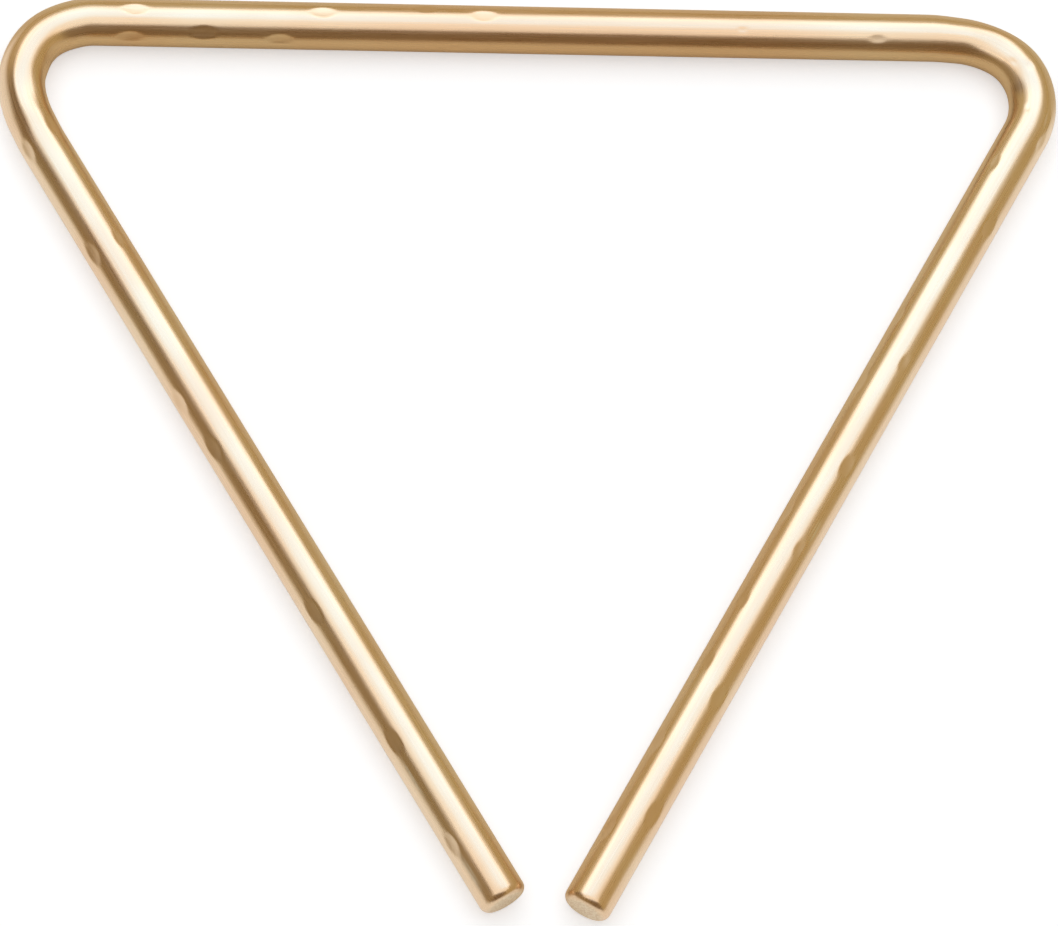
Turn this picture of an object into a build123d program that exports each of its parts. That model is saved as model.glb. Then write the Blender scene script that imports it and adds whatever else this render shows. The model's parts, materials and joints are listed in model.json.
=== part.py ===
"""Triangle, the percussion instrument: one round bronze rod, bent at two corners and open at the third.

It lies flat, as it is put down on a table: the rod's middle line runs level, the bar on the far (+Y) side
and the open corner towards -Y. The origin is under the middle of the outline, on the table.
"""
import os
from math import cos, radians, sin, tan

from build123d import *

# Driving dimensions, in millimetres and degrees
overall_width = 203.0  # over the outsides of the two bent corners
rod_diameter = 9.1
corner_angle = 60.4  # between the bar and either leg
left_bend_radius = 14.2  # of the rod's middle line at each bent corner
right_bend_radius = 13.6
mouth_gap = 7.4  # clear space between the two free ends
right_leg_excess = 1.6  # how much longer the right leg is cut than the left
end_rounding = 1.6  # radius on the rim of each cut end
hammer_radius = 14.0  # crown of the hammer that dresses the rod
full_blow = 0.26  # how far a full hammer blow sinks into the round
light_blow = 0.14  # how far a glancing blow sinks in
bending_blow = 0.7  # how far a blow that closes a bend flattens its outside

# Hammer marks: percent of the rod's length from its left free end, angle round the rod and depth.
# The angle is 0 on top, grows towards the outside of the triangle and is negative towards its inside.
left_leg_marks = [
    (2.35, 54, full_blow),
    (3.4, 162, full_blow),
    (6.1, 42, full_blow),
    (7.3, -142, light_blow),
    (11.1, 44, full_blow),
    (11.9, 144, full_blow),
    (16.8, -166, full_blow),
    (17.45, 46, full_blow),
    (19.4, 62, full_blow),
    (21.9, 150, light_blow),
    (24.1, 82, light_blow),
    (25.2, 51, full_blow),
    (25.2, -27, light_blow),
    (28.0, -150, full_blow),
    (29.45, 57, full_blow),
    (29.7, -34, light_blow),
]
bend_marks = [
    (31.1, 88, bending_blow),
    (64.6, 62, bending_blow),
    (65.6, 62, bending_blow),
]
bar_marks = [
    (36.7, -63, full_blow),
    (36.85, 9, full_blow),
    (38.4, 152, full_blow),
    (39.1, -48, full_blow),
    (41.6, -63, full_blow),
    (41.8, -148, light_blow),
    (43.0, 10, full_blow),
    (46.1, 170, full_blow),
    (46.4, 29, light_blow),
    (47.4, -80, light_blow),
    (48.3, 9, full_blow),
    (51.3, -140, full_blow),
    (55.7, 140, light_blow),
    (60.0, -165, full_blow),
    (61.35, -30, light_blow),
]
right_leg_marks = [
    (69.3, 52, light_blow),
    (70.8, -31, light_blow),
    (72.95, 40, full_blow),
    (73.6, 158, full_blow),
    (77.2, -54, light_blow),
    (78.7, 23, light_blow),
    (79.4, -150, full_blow),
    (79.95, -57, full_blow),
    (82.85, 27, full_blow),
    (83.7, 150, light_blow),
    (85.1, -60, full_blow),
    (86.15, 24, light_blow),
    (88.6, -36, light_blow),
    (89.6, -164, full_blow),
    (91.0, -38, light_blow),
    (91.9, 33, full_blow),
    (94.1, -51, full_blow),
    (94.8, 146, full_blow),
    (96.35, 36, full_blow),
    (97.4, -50, full_blow),
]

# Sizes that follow from them
rod_radius = rod_diameter / 2
lean = radians(corner_angle)


def meeting_place(bend_radius):
    """How far from the middle of the width the bar's middle line meets that of the leg beyond a bend."""
    past_the_bend = bend_radius / tan(lean / 2) - bend_radius
    return overall_width / 2 - rod_radius + past_the_bend


# The rounded rim takes this much off how far a cut end reaches, both sideways and downwards.
rim_saving = end_rounding * (sin(lean) + cos(lean) - 1)
end_reach = rod_radius * sin(lean) - rim_saving
bar_length = meeting_place(left_bend_radius) + meeting_place(right_bend_radius)
both_legs = (bar_length - mouth_gap - 2 * end_reach) / cos(lean)
left_leg = (both_legs - right_leg_excess) / 2
right_leg = (both_legs + right_leg_excess) / 2

# The bar's middle line stands as far beyond the origin as centres the outline between its two edges.
legs_reach = max(left_leg, right_leg) * sin(lean) + rod_radius * cos(lean) - rim_saving
bar_y = (legs_reach - rod_radius) / 2
left_corner = Vector(-meeting_place(left_bend_radius), bar_y, rod_radius)
right_corner = Vector(meeting_place(right_bend_radius), bar_y, rod_radius)
left_end = left_corner + Vector(cos(lean), -sin(lean)) * left_leg
right_end = right_corner + Vector(-cos(lean), -sin(lean)) * right_leg


def hammer_centre(middle_line, percent, angle, depth):
    """Centre of the hammer's crown at the end of the blow that leaves one mark."""
    top = Vector(0, 0, 1)
    outside = top.cross(middle_line % (percent / 100))
    facing = top * cos(radians(angle)) + outside * sin(radians(angle))
    return middle_line @ (percent / 100) + facing * (rod_radius + hammer_radius - depth)


os.makedirs("parts", exist_ok=True)

# The rod: drawn round, bent over a former at two corners, its cut ends rounded off, then hammered
with BuildPart() as triangle_rod:
    with BuildLine() as bent_line:
        FilletPolyline(
            left_end,
            left_corner,
            right_corner,
            right_end,
            radius=[left_bend_radius, right_bend_radius],
        )
    middle_line = bent_line.wires()[0]
    with BuildSketch(Plane(middle_line @ 0, z_dir=middle_line % 0)):
        Circle(rod_radius)
    sweep()
    cut_ends = triangle_rod.faces().filter_by(GeomType.PLANE)
    fillet(cut_ends.edges(), end_rounding)

    hammer_marks = left_leg_marks + bend_marks + bar_marks + right_leg_marks
    with Locations(*[hammer_centre(middle_line, *mark) for mark in hammer_marks]):
        Sphere(hammer_radius, mode=Mode.SUBTRACT)

triangle_rod.part.label = "triangle_rod"
export_step(triangle_rod.part, "parts/triangle_rod.step")

outline = triangle_rod.part.bounding_box()
print("outline", outline.min, outline.max)
print("rod length", round(middle_line.length, 1), "legs", round(left_leg, 2), round(right_leg, 2))
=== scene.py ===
"""A hammered bronze triangle, the percussion instrument, lying on a pale table under soft studio light."""
import json
import math

import bmesh
import bpy
from mathutils import Matrix, Vector, kdtree, noise


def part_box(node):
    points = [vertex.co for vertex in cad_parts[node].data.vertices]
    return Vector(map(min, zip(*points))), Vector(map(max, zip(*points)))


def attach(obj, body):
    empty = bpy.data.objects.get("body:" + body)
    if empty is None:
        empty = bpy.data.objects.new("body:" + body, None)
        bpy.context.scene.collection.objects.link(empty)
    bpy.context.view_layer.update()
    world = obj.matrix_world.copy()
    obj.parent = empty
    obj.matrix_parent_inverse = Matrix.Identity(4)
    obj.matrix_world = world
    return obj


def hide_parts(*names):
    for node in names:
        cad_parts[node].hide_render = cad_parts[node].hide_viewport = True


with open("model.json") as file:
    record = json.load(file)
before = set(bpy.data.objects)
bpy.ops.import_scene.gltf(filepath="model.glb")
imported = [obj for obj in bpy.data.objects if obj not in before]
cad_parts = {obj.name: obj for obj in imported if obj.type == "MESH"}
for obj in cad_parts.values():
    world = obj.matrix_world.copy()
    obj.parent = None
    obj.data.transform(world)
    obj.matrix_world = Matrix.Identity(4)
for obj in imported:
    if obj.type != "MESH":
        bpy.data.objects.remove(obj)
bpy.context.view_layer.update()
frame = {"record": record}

# The rod of the triangle: solid bronze, drawn round, bent over a former at two corners, cut and rounded
# off at both ends, dressed along its length with a ball-faced hammer and polished. Nothing is fixed to it.
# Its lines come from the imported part's two leg mounts and the far side of its box.
mm = 0.001
up = Vector((0, 0, 1))
pins = {mount["name"]: mount for mount in frame["record"]["mounts"] if mount["kind"] == "pin"}
rod_radius = pins["left_leg"]["dims"]["r_mm"] * mm
rod_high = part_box("triangle_rod")[1]
bar_y = rod_high[1] - rod_radius
end_rounding = 1.6 * mm
left_bend_radius = 14.2 * mm
right_bend_radius = 13.6 * mm
left_down = Vector(pins["left_leg"]["axis"])
right_down = Vector(pins["right_leg"]["axis"])
lean = math.acos(left_down.x)
bend_turn = math.pi - lean


def corner_of(leg_name):
    """Where the middle line of a leg meets that of the bar."""
    on_leg = Vector(pins[leg_name]["pos_m"])
    down = Vector(pins[leg_name]["axis"])
    return on_leg + down * ((bar_y - on_leg.y) / down.y)


left_setback = left_bend_radius / math.tan(lean / 2)
right_setback = right_bend_radius / math.tan(lean / 2)
left_leg_top = corner_of("left_leg") + left_down * left_setback
right_leg_top = corner_of("right_leg") + right_down * right_setback
bar_left = corner_of("left_leg") + Vector((left_setback, 0, 0))
bar_right = corner_of("right_leg") - Vector((right_setback, 0, 0))
left_straight = pins["left_leg"]["dims"]["length_mm"] * mm + end_rounding
right_straight = pins["right_leg"]["dims"]["length_mm"] * mm + end_rounding

# The middle line in runs, from the left free end to the right one. Seen from above, it turns clockwise.
runs = [
    {"start": left_leg_top + left_down * left_straight, "way": -left_down, "length": left_straight},
    {"start": left_leg_top, "way": -left_down, "length": bend_turn * left_bend_radius,
     "centre": bar_left - Vector((0, left_bend_radius, 0))},
    {"start": bar_left, "way": Vector((1, 0, 0)), "length": (bar_right - bar_left).length},
    {"start": bar_right, "way": Vector((1, 0, 0)), "length": bend_turn * right_bend_radius,
     "centre": bar_right - Vector((0, right_bend_radius, 0))},
    {"start": right_leg_top, "way": right_down, "length": right_straight},
]
rod_length = sum(run["length"] for run in runs)
join_tolerance = 1e-5


def on_middle_line(station):
    """The point of the middle line this far from the left free end, and its direction there."""
    for run in runs:
        if station <= run["length"] or run is runs[-1]:
            break
        station -= run["length"]
    if "centre" not in run:
        return run["start"] + run["way"] * station, run["way"].copy()
    turned = Matrix.Rotation(-bend_turn * station / run["length"], 3, "Z")
    return run["centre"] + turned @ (run["start"] - run["centre"]), turned @ run["way"]


def station_of(place):
    """How far along the rod a point of its skin lies, measured from the left free end."""
    station = 0.0
    for run in runs:
        if "centre" in run:
            spoke = run["start"] - run["centre"]
            arm = place - run["centre"]
            turned = -math.atan2(spoke.x * arm.y - spoke.y * arm.x, spoke.x * arm.x + spoke.y * arm.y)
            share = turned / bend_turn
            beside = 0.0
        else:
            from_start = place - run["start"]
            share = from_start.dot(run["way"]) / run["length"]
            beside = (from_start - run["way"] * share * run["length"]).length
        if abs(share - 0.5) < 0.5 + join_tolerance and beside < 2 * rod_radius:
            return station + share * run["length"]
        station += run["length"]
    return 0.0 if place.x < 0 else rod_length


# Drawing: a ring is carried up the left leg, round, along the bar, round and down again
rod_sides = 96
ring_step = 0.62 * mm
rim_run = 2.6 * mm
rod_mesh = bmesh.new()
ring = bmesh.ops.create_circle(rod_mesh, segments=rod_sides, radius=rod_radius)["verts"]
square_to_leg = runs[0]["way"].to_track_quat("Z", "Y").to_matrix().to_4x4()
bmesh.ops.transform(rod_mesh, verts=ring, matrix=Matrix.Translation(runs[0]["start"]) @ square_to_leg)
ring = ring + list({edge for vert in ring for edge in vert.link_edges})


def carry(ring, shift=(0, 0, 0), centre=(0, 0, 0), angle=0, steps=1):
    """Carries the ring on, straight or round a centre, and returns the ring that it ends in."""
    return bmesh.ops.spin(rod_mesh, geom=ring, cent=centre, axis=up, dvec=shift, angle=angle, steps=steps,
                          use_duplicate=False)["geom_last"]


def carry_round(ring, bend):
    """Carries the ring round one of the two bends."""
    return carry(ring, centre=bend["centre"], angle=-bend_turn, steps=round(bend["length"] / ring_step))


ring = carry(ring, runs[0]["way"] * rim_run)
ring = carry(ring, runs[0]["way"] * (left_straight - rim_run))
ring = carry_round(ring, runs[1])
ring = carry(ring, bar_right - bar_left)
ring = carry_round(ring, runs[3])
ring = carry(ring, right_down * (right_straight - rim_run))
carry(ring, right_down * rim_run)

# The three straights are divided about as finely as the bends, to take the hammer's marks
shortest_straight = 10 * rod_radius
straights = [edge for edge in rod_mesh.edges if edge.calc_length() > shortest_straight]
straight_cuts = round(left_straight / ring_step)
bmesh.ops.subdivide_edges(rod_mesh, edges=straights, cuts=straight_cuts, use_grid_fill=True)

# The cut ends are closed, and their rims rounded as with a file
rim_segments = 8
end_insets = 3
inset_step = 0.12 * rod_radius
open_edges = [edge for edge in rod_mesh.edges if edge.is_boundary]
bmesh.ops.holes_fill(rod_mesh, edges=open_edges, sides=rod_sides)
bmesh.ops.bevel(rod_mesh, geom=open_edges, offset=end_rounding, offset_type="OFFSET", affect="EDGES",
                segments=rim_segments, profile=0.5, material=-1)
bmesh.ops.recalc_face_normals(rod_mesh, faces=rod_mesh.faces)
cut_faces = [face for face in rod_mesh.faces if len(face.verts) == rod_sides]
for _ in range(end_insets):
    bmesh.ops.inset_region(rod_mesh, faces=cut_faces, thickness=inset_step, depth=0)


def fade_out(share):
    """1 in the middle of a reach, falling smoothly to 0 at its edge."""
    return 0.5 * (1 + math.cos(math.pi * share))


# Bent by hand, the rod strays from the two arcs: percent of its length from the left free end, reach along
# it, and how far it goes towards the outside of the triangle there
strayings = [(31.0, 9 * mm, -0.45 * mm), (33.7, 7 * mm, 0.25 * mm), (64.9, 10 * mm, -0.5 * mm)]

# Where each point of the skin lies: along the rod, round it, and the middle line's point that it stands on.
# The angle is 0 on top, grows towards the outside of the triangle and is negative towards its inside.
# The sawn look of the ends stops at a share of the radius, and sets in steeply inside it.
sawn_edge = 0.88
sawn_slope = 5
hammered = rod_mesh.verts.layers.float.new("hammered")
scuffed = rod_mesh.verts.layers.float.new("scuffed")
sawn = rod_mesh.verts.layers.float.new("sawn")
rod_mesh.verts.index_update()
rod_mesh.verts.ensure_lookup_table()
places = []
skin = kdtree.KDTree(len(rod_mesh.verts))
for vert in rod_mesh.verts:
    station = station_of(vert.co)
    middle, way = on_middle_line(station)
    outward = up.cross(way)
    spoke = vert.co - middle
    vert[sawn] = min(max(sawn_slope * (sawn_edge - spoke.length / rod_radius), 0), 1)
    stray = Vector()
    for percent, along, shift in strayings:
        ahead = min(abs(station - rod_length * percent / 100) / along, 1)
        stray += outward * shift * fade_out(ahead)
    vert.co += stray
    places.append((station, math.atan2(spoke.dot(outward), spoke.z), middle + stray))
    skin.insert(vert.co, vert.index)
skin.balance()
search_slack = 1.3


def spoke_at(percent, angle):
    """The middle line's point at a percent of the rod's length, and the way that an angle round it faces."""
    middle, way = on_middle_line(rod_length * percent / 100)
    facing = up * math.cos(math.radians(angle)) + up.cross(way) * math.sin(math.radians(angle))
    return middle, facing


def near(percent, angle, along, across):
    """The points of the skin round a place, and how near each is: 1 in the middle, 0 at its edge."""
    middle, facing = spoke_at(percent, angle)
    reach = search_slack * max(along, rod_radius * math.radians(across))
    for _, index, _ in skin.find_range(middle + facing * rod_radius, reach):
        station, point_angle, foot = places[index]
        ahead = (station - rod_length * percent / 100) / along
        turned = math.remainder(point_angle - math.radians(angle), 2 * math.pi) / math.radians(across)
        if abs(ahead) < 1 and abs(turned) < 1:
            yield rod_mesh.verts[index], foot, fade_out(ahead) * fade_out(turned)


# Bending and dressing have flattened each bend on its outside, on top and towards its inside. Small nicks
# came later. Each has its percent of the rod's length, angle, reach along and round, and depth.
dents = [
    (31.3, 58, 10 * mm, 62, 0.50 * mm),
    (31.4, -12, 7 * mm, 44, 0.38 * mm),
    (33.7, -75, 7 * mm, 60, 0.35 * mm),
    (65.0, 66, 12 * mm, 84, 0.35 * mm),
    (65.4, -10, 7 * mm, 46, 0.40 * mm),
    (67.5, -32, 8 * mm, 60, 0.42 * mm),
]
nicks = [
    (56.85, -14, 1.1 * mm, 11, 0.15 * mm),
    (66.4, -22, 1.1 * mm, 10, 0.14 * mm),
    (66.82, 4, 1.1 * mm, 15, 0.18 * mm),
    (68.4, -15, 1.1 * mm, 13, 0.14 * mm),
    (68.6, 40, 2.2 * mm, 10, 0.18 * mm),
]
for percent, angle, along, across, depth in dents + nicks:
    for vert, foot, fade in near(percent, angle, along, across):
        vert.co -= (vert.co - foot).normalized() * depth * fade

# Hammer marks: percent of the rod's length from its left free end, angle and depth. The skin goes down to
# the hammer's face, with a soft lip where the two meet.
hammer_radius = 14 * mm
full_blow = 0.26 * mm
light_blow = 0.14 * mm
mark_lip = 0.03 * mm
mark_reach = 6 * mm
hammer_marks = [
    (2.35, 54, full_blow), (3.4, 162, full_blow), (6.1, 42, full_blow), (7.3, -142, light_blow),
    (11.1, 44, full_blow), (11.9, 144, full_blow), (16.8, -166, full_blow), (17.45, 46, full_blow),
    (19.4, 62, full_blow), (21.9, 150, light_blow), (24.1, 82, light_blow), (25.2, 51, full_blow),
    (25.2, -27, light_blow), (28.0, -150, full_blow), (29.45, 57, full_blow), (29.7, -34, light_blow),
    (36.7, -63, full_blow), (36.85, 9, full_blow), (38.4, 152, full_blow), (39.1, -48, full_blow),
    (41.6, -63, full_blow), (41.8, -148, light_blow), (43.0, 10, full_blow), (46.1, 170, full_blow),
    (46.4, 29, light_blow), (47.4, -80, light_blow), (48.3, 9, full_blow), (51.3, -140, full_blow),
    (55.7, 140, light_blow), (60.0, -165, full_blow), (61.35, -30, light_blow),
    (69.3, 52, light_blow), (70.8, -31, light_blow), (72.95, 40, full_blow), (73.6, 158, full_blow),
    (77.2, -54, light_blow), (78.7, 23, light_blow), (79.4, -150, full_blow), (79.95, -57, full_blow),
    (82.85, 27, full_blow), (83.7, 150, light_blow), (85.1, -60, full_blow), (86.15, 24, light_blow),
    (88.6, -36, light_blow), (89.6, -164, full_blow), (91.0, -38, light_blow), (91.9, 33, full_blow),
    (94.1, -51, full_blow), (94.8, 146, full_blow), (96.35, 36, full_blow), (97.4, -50, full_blow),
]
for percent, angle, depth in hammer_marks:
    middle, facing = spoke_at(percent, angle)
    crown = middle + facing * (rod_radius + hammer_radius - depth)
    for _, index, _ in skin.find_range(middle + facing * rod_radius, mark_reach):
        vert = rod_mesh.verts[index]
        foot = places[index][2]
        spoke = vert.co - foot
        spoke_way = spoke.normalized()
        along = (crown - foot).dot(spoke_way)
        aside = (crown - foot).length_squared - along * along
        if aside >= hammer_radius ** 2:
            continue
        pressed = along - math.sqrt(hammer_radius ** 2 - aside)
        mix = min(max(0.5 + 0.5 * (pressed - spoke.length) / mark_lip, 0), 1)
        sunk = pressed + (spoke.length - pressed) * mix - mark_lip * mix * (1 - mix)
        vert.co = foot + spoke_way * sunk
        vert[hammered] = max(vert[hammered], min((spoke.length - sunk) / light_blow, 1))

# Scuffs: percent, angle, reach along and round
scuff_strength = 1.5
scuffs = [(1.25, 48, 5.5 * mm, 9), (4.8, 50, 5 * mm, 9), (85.35, 36, 3.6 * mm, 9)]
for percent, angle, along, across in scuffs:
    for vert, _, fade in near(percent, angle, along, across):
        vert[scuffed] = min(scuff_strength * fade, 1)

# Polishing by hand leaves the rod very slightly uneven, with broad swells and small ones
unevenness = 0.02 * mm
broad_swell = 9 * mm
small_swell = 4 * mm
swell_share = 0.33
for vert in rod_mesh.verts:
    swell = noise.noise(vert.co / broad_swell) + 0.5 * noise.noise(vert.co / small_swell)
    vert.co -= vert.normal * unevenness * (0.5 + swell_share * swell)

# A map of the skin in metres, along the rod and round it
skin_map = rod_mesh.loops.layers.uv.new("along_and_round")
for face in rod_mesh.faces:
    face.smooth = True
    first_angle = places[face.verts[0].index][1]
    for loop in face.loops:
        station, angle = places[loop.vert.index][:2]
        angle += 2 * math.pi * round((first_angle - angle) / (2 * math.pi))
        loop[skin_map].uv = station, angle * rod_radius

rod_data = bpy.data.meshes.new("triangle_rod_polished")
rod_mesh.to_mesh(rod_data)
rod_mesh.free()
rod = bpy.data.objects.new("triangle_rod_polished", rod_data)
bpy.context.collection.objects.link(rod)


def add_node(tree, kind, inputs, **settings):
    """Adds a node with its settings. Its inputs take plain values, or sockets that they are linked to."""
    node = tree.nodes.new(kind)
    for name, setting in settings.items():
        setattr(node, name, setting)
    for name, value in inputs.items():
        if isinstance(value, bpy.types.NodeSocket):
            tree.links.new(value, node.inputs[name])
        else:
            node.inputs[name].default_value = value
    return node


def remap(tree, value, low, high, to_low=0.0, to_high=1.0):
    """Spreads a value between two limits smoothly over a new range."""
    inputs = {"Value": value, "From Min": low, "From Max": high, "To Min": to_low, "To Max": to_high}
    node = add_node(tree, "ShaderNodeMapRange", inputs, interpolation_type="SMOOTHSTEP")
    return node.outputs["Result"]


def blend(tree, factor, first, second):
    """Goes from the first colour to the second as the factor goes from 0 to 1."""
    inputs = {"Factor": factor, "A": first, "B": second}
    return add_node(tree, "ShaderNodeMix", inputs, data_type="RGBA").outputs["Result"]


def work_out(tree, operation, first, second):
    """A Math node on two values."""
    return add_node(tree, "ShaderNodeMath", {0: first, 1: second}, operation=operation).outputs["Value"]


# Polished bronze: golden with rosier patches at random, and along the middle of the bar a rosier stretch
# that is a painted warm reflection. Faint lines along the rod from its drawing, finer ones across the
# hammer marks, paler scuffs, and matte mottled ends as the saw left them.
bronze = bpy.data.materials.new("polished_bronze")
bronze.use_nodes = True
metal = bronze.node_tree
shader = metal.nodes["Principled BSDF"]
shader.inputs["Metallic"].default_value = 1.0
along_and_round = add_node(metal, "ShaderNodeUVMap", {}, uv_map="along_and_round").outputs["UV"]
in_space = add_node(metal, "ShaderNodeTexCoord", {}).outputs["Object"]


def noise_on(coordinates, stretch, turn=0.0):
    """Noise with as many cells to the metre as the stretch says, along each axis of the coordinates."""
    placing = {"Vector": coordinates, "Rotation": (0, 0, turn), "Scale": stretch}
    mapped = add_node(metal, "ShaderNodeMapping", placing).outputs["Vector"]
    inputs = {"Vector": mapped, "Scale": 1.0, "Detail": 3.0}
    return add_node(metal, "ShaderNodeTexNoise", inputs).outputs["Fac"]


def painted(name):
    """A mask that the mesh carries."""
    return add_node(metal, "ShaderNodeAttribute", {}, attribute_name=name).outputs["Fac"]


drawn_lines = noise_on(along_and_round, (50, 2300, 1))
polish_lines = noise_on(along_and_round, (700, 3600, 1), turn=0.9)
clouds = remap(metal, noise_on(in_space, (38, 38, 38)), 0.35, 0.65, 0.0, 0.7)
grain = noise_on(in_space, (2400, 2400, 2400))
in_marks = painted("hammered")
in_scuffs = work_out(metal, "MULTIPLY", painted("scuffed"), remap(metal, drawn_lines, 0.35, 0.6))
on_ends = painted("sawn")

golden = (0.87, 0.67, 0.45, 1)
rosy_tone_and_painted_reflection = (0.85, 0.59, 0.37, 1)
rubbed = (0.92, 0.80, 0.62, 1)
sawn_light = (0.86, 0.72, 0.52, 1)
sawn_dark = (0.74, 0.56, 0.36, 1)
station_on_skin = add_node(metal, "ShaderNodeSeparateXYZ", {"Vector": along_and_round}).outputs["X"]
# Along the middle of the bar the base colour turns rosier: a painted warm reflection, not a tone of the
# metal.
past_left_of_bar = remap(metal, station_on_skin, 0.40 * rod_length, 0.47 * rod_length)
before_right_of_bar = remap(metal, station_on_skin, 0.57 * rod_length, 0.62 * rod_length, 1.0, 0.0)
painted_reflection_on_bar = work_out(metal, "MULTIPLY", past_left_of_bar, before_right_of_bar)
colour = blend(metal, work_out(metal, "MAXIMUM", clouds, painted_reflection_on_bar), golden, rosy_tone_and_painted_reflection)
colour = blend(metal, in_scuffs, colour, rubbed)
cut_colour = blend(metal, remap(metal, grain, 0.4, 0.6), sawn_dark, sawn_light)
metal.links.new(blend(metal, on_ends, colour, cut_colour), shader.inputs["Base Color"])

roughness = remap(metal, drawn_lines, 0.3, 0.7, 0.25, 0.33)
for mask, rougher_by in ((in_marks, 0.03), (in_scuffs, 0.12), (on_ends, 0.16)):
    roughness = work_out(metal, "ADD", roughness, work_out(metal, "MULTIPLY", mask, rougher_by))
metal.links.new(roughness, shader.inputs["Roughness"])

relief_depth = 0.02 * mm
relief = work_out(metal, "MULTIPLY", drawn_lines, 0.5)
for lines, mask in ((polish_lines, in_marks), (grain, on_ends)):
    relief = work_out(metal, "ADD", relief, work_out(metal, "MULTIPLY", lines, mask))
bump = add_node(metal, "ShaderNodeBump", {"Height": relief, "Strength": 0.5, "Distance": relief_depth})
metal.links.new(bump.outputs["Normal"], shader.inputs["Normal"])
rod_data.materials.append(bronze)

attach(rod, "root")
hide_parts("triangle_rod")

# The table top: a plain pale sheet under the triangle. It shows white to the camera. In the metal it is
# white, with a painted glow of light only along the outer sides of the two legs, on the right as far as
# the bend, and in front of the free ends. Elsewhere the metal sees it in a warm painted shade and
# without a glow.
table_reach = 3.0
table_mesh = bmesh.new()
bmesh.ops.create_grid(table_mesh, x_segments=1, y_segments=1, size=table_reach)
table_data = bpy.data.meshes.new("table_top")
table_mesh.to_mesh(table_data)
table_mesh.free()
table = bpy.data.objects.new("table_top", table_data)
bpy.context.collection.objects.link(table)
full_white = (1, 1, 1, 1)
pale = bpy.data.materials.new("pale_table")
pale.use_nodes = True
sheet = pale.node_tree
pale_shader = sheet.nodes["Principled BSDF"]
pale_shader.inputs["Roughness"].default_value = 0.8
pale_shader.inputs["Emission Color"].default_value = full_white
on_table = add_node(sheet, "ShaderNodeTexCoord", {}).outputs["Object"]
seen = add_node(sheet, "ShaderNodeLightPath", {})
pale_as_far_as = 4 * rod_radius
warm_again_from = 16 * rod_radius
bend_fade = 3 * rod_radius


def outside_of(line_point, outward):
    """A mask that is 1 close to a line on the table, on its outer side, and 0 inside it and far out."""
    inputs = {0: on_table, 1: outward}
    measure = add_node(sheet, "ShaderNodeVectorMath", inputs, operation="DOT_PRODUCT").outputs["Value"]
    line = outward.dot(line_point)
    beyond = remap(sheet, measure, line - rod_radius, line + rod_radius)
    not_far = remap(sheet, measure, line + pale_as_far_as, line + warm_again_from, 1.0, 0.0)
    return work_out(sheet, "MULTIPLY", beyond, not_far)


depth_on_table = add_node(sheet, "ShaderNodeSeparateXYZ", {"Vector": on_table}).outputs["Y"]
right_bend_y = right_leg_top.y
short_of_bend = remap(sheet, depth_on_table, right_bend_y, right_bend_y + bend_fade, 1.0, 0.0)
right_of_leg = work_out(sheet, "MULTIPLY", outside_of(right_leg_top, up.cross(right_down)), short_of_bend)
left_of_leg = outside_of(left_leg_top, left_down.cross(up))
before_ends = outside_of(runs[0]["start"], Vector((0, -1, 0)))
# Where this mask is 1 the table carries painted light: a glow that only the metal sees.
painted_glow_zone = work_out(sheet, "MAXIMUM", left_of_leg, right_of_leg)
painted_glow_zone = work_out(sheet, "MAXIMUM", painted_glow_zone, before_ends)
white = (0.78, 0.78, 0.78, 1)
# The warm colour is painted shade: the metal sees the table in it wherever the painted glow is missing.
warm_painted_shade = (0.79, 0.68, 0.46, 1)
metal_glow = 0.34
camera_glow = 0.48
in_metal = blend(sheet, painted_glow_zone, warm_painted_shade, white)
table_colour = blend(sheet, seen.outputs["Is Glossy Ray"], white, in_metal)
sheet.links.new(table_colour, pale_shader.inputs["Base Color"])
zone_glow = work_out(sheet, "MULTIPLY", painted_glow_zone, metal_glow)
glow_in_metal = work_out(sheet, "MULTIPLY", seen.outputs["Is Glossy Ray"], zone_glow)
glow_to_camera = work_out(sheet, "MULTIPLY", seen.outputs["Is Camera Ray"], camera_glow)
table_glow = work_out(sheet, "ADD", glow_in_metal, glow_to_camera)
sheet.links.new(table_glow, pale_shader.inputs["Emission Strength"])
table_data.materials.append(pale)

# Studio light: one broad softbox overhead, a blue one just under its far half that shows in reflections
# alone, and a dim room round them. The camera sees neither softbox.
lamp_height = 1.2
lamp_drop = 0.02


def softbox(name, left, right, near_side, far_side, colour, radiance, height):
    """A rectangular lamp that faces down. Its sides are given as slopes seen from the table's middle."""
    data = bpy.data.lights.new(name, "AREA")
    data.shape = "RECTANGLE"
    data.size = (right - left) * height
    data.size_y = (far_side - near_side) * height
    data.color = colour
    data.energy = radiance * math.pi * data.size * data.size_y
    lamp = bpy.data.objects.new(name, data)
    lamp.location = ((left + right) / 2 * height, (near_side + far_side) / 2 * height, height)
    lamp.visible_camera = False
    bpy.context.collection.objects.link(lamp)
    return lamp


softbox("overhead_softbox", left=-0.88, right=0.75, near_side=-0.63, far_side=1.42,
        colour=(0.97, 0.98, 1.0), radiance=1.13, height=lamp_height)
cool = softbox("far_softbox", left=-0.70, right=0.60, near_side=0.10, far_side=1.30,
               colour=(0.03, 0.42, 1.0), radiance=0.85, height=lamp_height - lamp_drop)
cool.visible_diffuse = False

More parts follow.
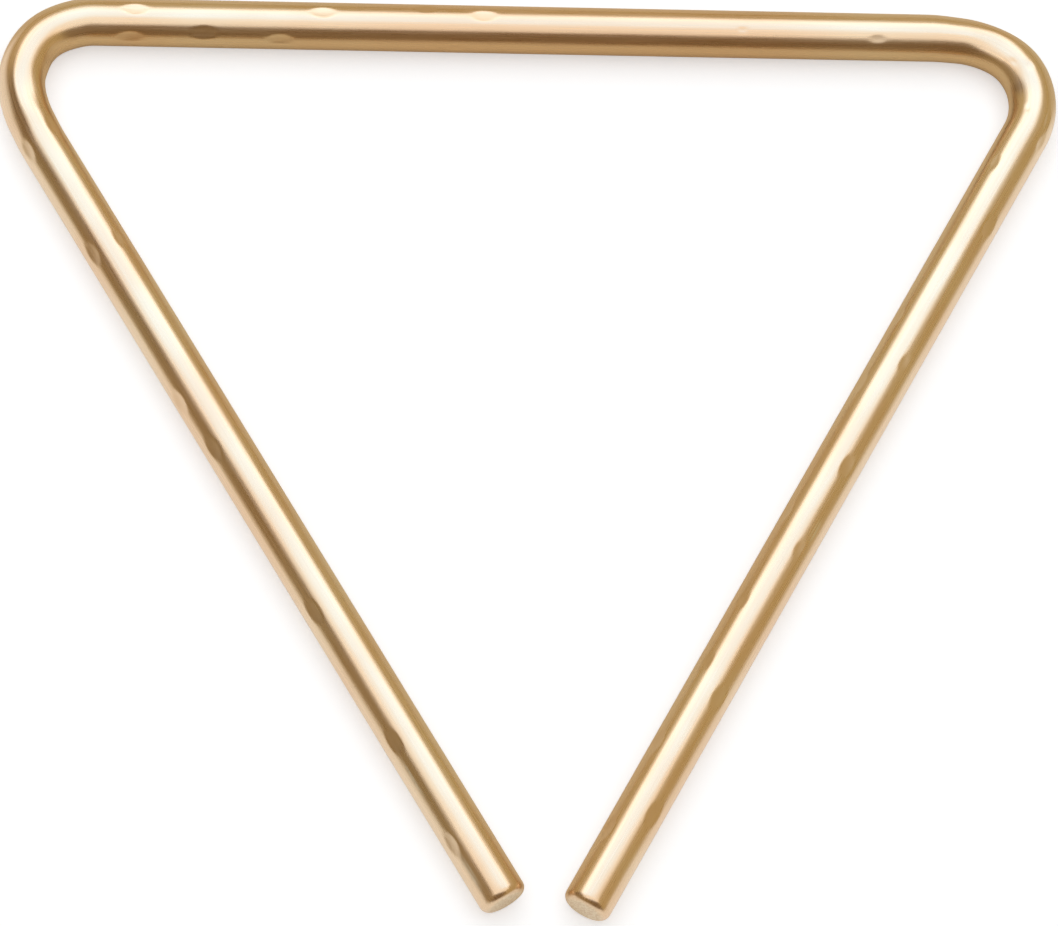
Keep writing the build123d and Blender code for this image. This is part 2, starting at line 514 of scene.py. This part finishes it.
# The room: olive, brown on the near left with a paler stretch in it, and black overhead. It is an even grey
# where it lights rough surfaces, and white to the camera.
world = bpy.data.worlds.new("dim_room")
bpy.context.scene.world = world
world.use_nodes = True
room = world.node_tree
direction = add_node(room, "ShaderNodeTexCoord", {}).outputs["Generated"]
ray = add_node(room, "ShaderNodeLightPath", {})
olive = (0.48, 0.38, 0.19, 1)
brown = (0.19, 0.125, 0.063, 1)
black = (0, 0, 0, 1)
even_grey = (0.20, 0.20, 0.20, 1)
near_left = (-0.58, -0.74, 0.34)
paler_stretch = (-0.80, -0.55, 0.24)


def toward(way, low, high, most=1.0):
    """A mask of the room that rises as a ray turns towards this side."""
    inputs = {0: direction, 1: way}
    agreement = add_node(room, "ShaderNodeVectorMath", inputs, operation="DOT_PRODUCT").outputs["Value"]
    return remap(room, agreement, low, high, 0.0, most)


ceiling_from = 0.74
ceiling_full = 0.9
walls = blend(room, toward(near_left, low=0.2, high=0.42), olive, brown)
walls = blend(room, toward(paler_stretch, low=0.74, high=0.90, most=0.35), walls, olive)
rise = add_node(room, "ShaderNodeSeparateXYZ", {"Vector": direction}).outputs["Z"]
walls = blend(room, remap(room, rise, ceiling_from, ceiling_full), walls, black)
walls = blend(room, ray.outputs["Is Diffuse Ray"], walls, even_grey)
walls = blend(room, ray.outputs["Is Camera Ray"], walls, full_white)
room.links.new(walls, room.nodes["Background"].inputs["Color"])

bpy.context.scene.view_settings.view_transform = "Standard"

# The camera: above the table, a little to the near side and the left, with a long lens.
# The lens follows from how many pixels a metre takes up at the point that it aims at.
picture_width = 1058
pixels_per_metre = 5375
camera_distance = 1.099
tilt = math.radians(22)
turn = math.radians(-5)
roll = math.radians(-1.26)
aim = Vector((-1.75 * mm, -2.66 * mm, rod_radius))
back = Vector((math.sin(turn), -math.sin(tilt) * math.cos(turn), math.cos(tilt) * math.cos(turn)))
level_right = Vector((0, 1, 0)).cross(back).normalized()
camera_right = level_right * math.cos(roll) + back.cross(level_right) * math.sin(roll)
camera_data = bpy.data.cameras.new("camera")
camera_data.lens = pixels_per_metre * camera_distance * camera_data.sensor_width / picture_width
camera = bpy.data.objects.new("camera", camera_data)
camera_axes = Matrix((camera_right, back.cross(camera_right), back)).transposed().to_4x4()
camera.matrix_world = Matrix.Translation(aim + back * camera_distance) @ camera_axes
bpy.context.collection.objects.link(camera)
bpy.context.scene.camera = camera
